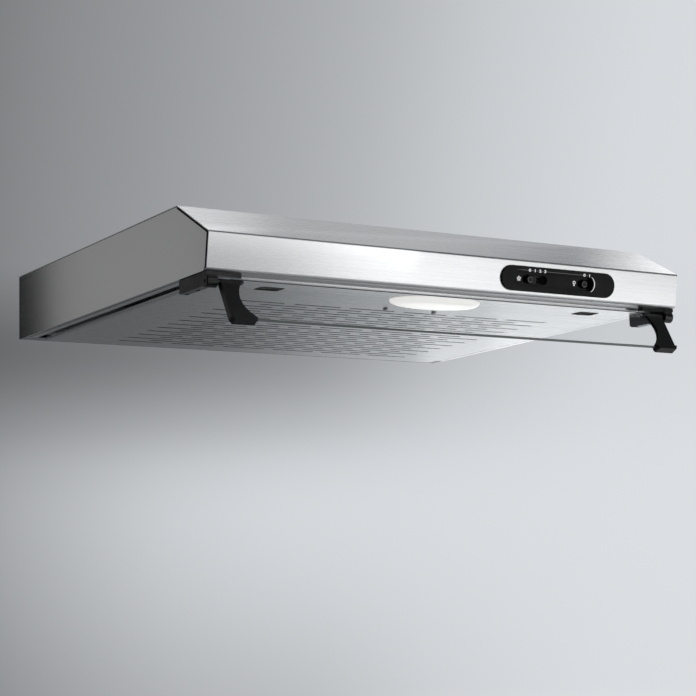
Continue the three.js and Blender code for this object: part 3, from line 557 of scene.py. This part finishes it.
BODY_DEPTH = 495
FASCIA_FOOT = 6.5
FASCIA_HEIGHT = 37.5
CANOPY_LOW, CANOPY_HIGH = (Vector(corner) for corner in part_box("canopy"))
CORNER = Vector((CANOPY_LOW.x, CANOPY_HIGH.y - BODY_DEPTH * MM, CANOPY_LOW.z))
ON_FASCIA = (
    Matrix.Translation(CORNER + Vector((0, FASCIA_FOOT * MM, 0)))
    @ Matrix.Rotation(math.atan2(FASCIA_FOOT, FASCIA_HEIGHT), 4, "X")
)

PRINT_AND_HIGHLIGHT_THICKNESS = 0.12
BEZEL_HIGHLIGHT_Y = -2.6
DIGIT_Y = -2.65
FLOOR_PRINT_Y = 1.37
KNOB_HIGHLIGHT_Y = -1.75
RECESS = {"left": 375.7, "right": 469.3, "z": 18.2, "rim": 9.5}
# The rim round the recess gets painted highlights: a line along its top, and an arc at its right
# end.
RIM_HIGHLIGHT_WIDTHS = (0.1, 0.35, 0.4, 0.4, 0.4)
RIM_HIGHLIGHT_ARC = {"inset": 0.2, "start": 62, "end": -62, "thin": 0.25, "swell": 0.85}
ARC_STEPS = 16
DIGITS = (("0", 388.5), ("1", 395.6), ("2", 402.5), ("3", 409.3), ("0", 463.5), ("1", 470.7))
DIGIT_SIZE = 4.3
DIGIT_DEPTH = 0.05
DIGIT_BOLDNESS = 0.12
DIGIT_STRETCH = 1.4
FAN_MARK = {"x": 377.4, "z": 18.2, "size": 2.7}
FAN_BLADES = 5
BULB_MARK = {"x": 453, "z": 18.2, "size": 3.0}
# Painted highlight rings round each button's pip, which slide with the buttons.
KNOB_HIGHLIGHT_RINGS = (
    ("speed_knob_highlight", "speed_slider", 390.5),
    ("light_knob_highlight", "light_slider", 465.3),
)
KNOB_HIGHLIGHT = {"z": 17.7, "outer": 2.9, "inner": 2.5, "start": 20, "end": 340, "steps": 24}

PANE = {"left": 30, "right": 570, "low": -45, "high": 3.5, "thickness": 4, "bevel": 0.45}
PANE_FACING = 0.9
VISOR_PIVOT = Vector((0, 14.2, -9.8))
VISOR_LEAN = -28.5


def piece(name, mesh, material, body, place):
    """Adds a new piece, drawn in its own frame in metres, that moves with a body."""
    obj = bpy.data.objects.new(name, mesh)
    obj.data.materials.append(MATERIALS[material])
    bpy.context.scene.collection.objects.link(obj)
    obj.matrix_world = place
    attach(obj, body)
    return obj


def flat_mesh(name, outlines, y):
    """A thin shape that faces the front, for printing and for painted highlights: closed outlines of
    (x, z) in mm, at depth y.
    """
    bm = bmesh.new()
    for outline in outlines:
        bm.faces.new([bm.verts.new((x * MM, y * MM, z * MM)) for x, z in outline])
    bmesh.ops.recalc_face_normals(bm, faces=bm.faces)
    grown = bmesh.ops.extrude_face_region(bm, geom=bm.faces[:])
    for part in grown["geom"]:
        if isinstance(part, bmesh.types.BMVert):
            part.co.y += PRINT_AND_HIGHLIGHT_THICKNESS * MM
    bmesh.ops.recalc_face_normals(bm, faces=bm.faces)
    mesh = bpy.data.meshes.new(name)
    bm.to_mesh(mesh)
    bm.free()
    return mesh


def ribbon(path, widths):
    """Quads along a path of (x, z) points, with a width at each."""
    sides = []
    for i, (x, z) in enumerate(path):
        ahead = Vector(path[min(i + 1, len(path) - 1)]) - Vector(path[max(i - 1, 0)])
        across = Vector((-ahead.y, ahead.x)).normalized() * widths[i] / 2
        sides.append(((x + across.x, z + across.y), (x - across.x, z - across.y)))
    return [(a[0], b[0], b[1], a[1]) for a, b in zip(sides, sides[1:])]


def arc(x, z, radius, start, end, steps=ARC_STEPS):
    """Points along an arc, from one angle in degrees to another."""
    angles = [math.radians(start + (end - start) * i / steps) for i in range(steps + 1)]
    return [(x + radius * math.cos(a), z + radius * math.sin(a)) for a in angles]


def fan_mark(x, z, size):
    """Curved blades round a hub."""
    shapes = [arc(x, z, size * 0.2, 0, 360)[:-1]]
    for blade in range(FAN_BLADES):
        turn = blade * 360 / FAN_BLADES
        tip = arc(x, z, size, turn, turn + 40, 5)
        root = arc(x, z, size * 0.3, turn + 10, turn + 55, 3)
        shapes.append(tip + root[::-1])
    return shapes


def band(outer, inner):
    """Quads between two lines of as many points each."""
    return [(outer[i], outer[i + 1], inner[i + 1], inner[i]) for i in range(len(outer) - 1)]


def bulb_mark(x, z, size):
    """A round bulb in outline above its cap."""
    middle = z + size * 0.25
    glass = arc(x, middle, size * 0.66, -90, 270)
    inner = arc(x, middle, size * 0.36, -90, 270)
    corners = ((-0.3, -0.95), (0.3, -0.95), (0.3, -0.5), (-0.3, -0.5))
    cap = [(x + size * u, z + size * v) for u, v in corners]
    return [*band(glass, inner), cap]


def text_mesh(name, character, size):
    """A digit as a thin solid that faces the front, centred on its own origin."""
    curve = bpy.data.curves.new(name, "FONT")
    curve.body = character
    curve.size = size * MM
    curve.extrude = DIGIT_DEPTH * MM
    curve.offset = DIGIT_BOLDNESS * MM
    curve.resolution_u = 4
    curve.align_x = "CENTER"
    curve.align_y = "CENTER"
    holder = bpy.data.objects.new(name, curve)
    bpy.context.scene.collection.objects.link(holder)
    bpy.context.view_layer.update()
    shaped = holder.evaluated_get(bpy.context.evaluated_depsgraph_get())
    mesh = bpy.data.meshes.new_from_object(shaped)
    bpy.data.objects.remove(holder)
    return mesh


def print_and_highlight_mark(name, outlines, y, material="white_print_and_highlight", body="hood"):
    """A mark on the fascia's frame at depth y, for printing and for painted highlights."""
    piece(name, flat_mesh(name, outlines, y), material, body, ON_FASCIA)


def rim_highlights():
    """Painted highlights on the edge of the rim round the recess: a line along its top, and an arc
    round its right end that swells in the middle, where the edge faces the light.
    """
    top, end = RECESS["z"] + RECESS["rim"], RECESS["right"]
    stops = (RECESS["left"] - 4, RECESS["left"] + 4, RECESS["left"] + 40, end - 8, end)
    line = ribbon([(x, top) for x in stops], RIM_HIGHLIGHT_WIDTHS)
    print_and_highlight_mark("bezel_rim_highlight_line", line, BEZEL_HIGHLIGHT_Y, "highlight_grey")
    radius = RECESS["rim"] - RIM_HIGHLIGHT_ARC["inset"]
    rim = arc(end, RECESS["z"], radius, RIM_HIGHLIGHT_ARC["start"], RIM_HIGHLIGHT_ARC["end"])
    swells = [math.sin(math.pi * i / ARC_STEPS) for i in range(ARC_STEPS + 1)]
    widths = [RIM_HIGHLIGHT_ARC["thin"] + RIM_HIGHLIGHT_ARC["swell"] * swell for swell in swells]
    print_and_highlight_mark("bezel_rim_highlight_arc", ribbon(rim, widths), BEZEL_HIGHLIGHT_Y)


def digits():
    """The switch positions, over the recess."""
    stretch = Matrix.Diagonal((DIGIT_STRETCH, 1, 1, 1))
    upright = Matrix.Rotation(math.pi / 2, 4, "X")
    z = RECESS["z"] + RECESS["rim"]
    for index, (character, x) in enumerate(DIGITS):
        name = f"bezel_digit_{index}"
        place = ON_FASCIA @ Matrix.Translation(Vector((x, DIGIT_Y, z)) * MM)
        mesh = text_mesh(name, character, DIGIT_SIZE)
        piece(name, mesh, "white_print_and_highlight", "hood", place @ upright @ stretch)


def controls():
    """The printed marks on the bezel and its sunk floor, the painted highlights on the recess's rim,
    and a painted highlight ring on each button that slides with it.
    """
    rim_highlights()
    digits()
    print_and_highlight_mark("fan_mark", fan_mark(**FAN_MARK), FLOOR_PRINT_Y)
    print_and_highlight_mark("bulb_mark", bulb_mark(**BULB_MARK), FLOOR_PRINT_Y)
    for name, body, x in KNOB_HIGHLIGHT_RINGS:
        outer, inner = (
            arc(x, KNOB_HIGHLIGHT["z"], KNOB_HIGHLIGHT[side], KNOB_HIGHLIGHT["start"], KNOB_HIGHLIGHT["end"], KNOB_HIGHLIGHT["steps"])
            for side in ("outer", "inner")
        )
        print_and_highlight_mark(name, band(outer, inner), KNOB_HIGHLIGHT_Y, "highlight_grey", body)


def pane():
    """The visor's glass, with softened edges and a ground rim."""
    half = PANE["thickness"] / 2
    bm = bmesh.new()
    bmesh.ops.create_cube(bm, size=1)
    for vert in bm.verts:
        vert.co = MM * Vector((
            PANE["right"] if vert.co.x > 0 else PANE["left"],
            half if vert.co.y > 0 else -half,
            PANE["high"] if vert.co.z > 0 else PANE["low"],
        ))
    bmesh.ops.bevel(
        bm, geom=bm.edges[:], offset=PANE["bevel"] * MM, segments=2, affect="EDGES", profile=0.5
    )
    mesh = bpy.data.meshes.new("visor_pane")
    bm.normal_update()
    for face in bm.faces:
        face.smooth = False
        face.material_index = 0 if abs(face.normal.y) > PANE_FACING else 1
    bm.to_mesh(mesh)
    bm.free()
    pivot = Matrix.Translation(CORNER + VISOR_PIVOT * MM)
    lean = Matrix.Rotation(math.radians(VISOR_LEAN), 4, "X")
    obj = piece("visor_pane", mesh, "glass", "visor", pivot @ lean)
    obj.data.materials.append(MATERIALS["glass_edge"])
    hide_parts("visor_glass")


controls()
pane()

camera()
world()
lights()
floor()

bpy.context.scene.view_settings.view_transform = "Standard"
bpy.context.scene.cycles.use_denoising = True
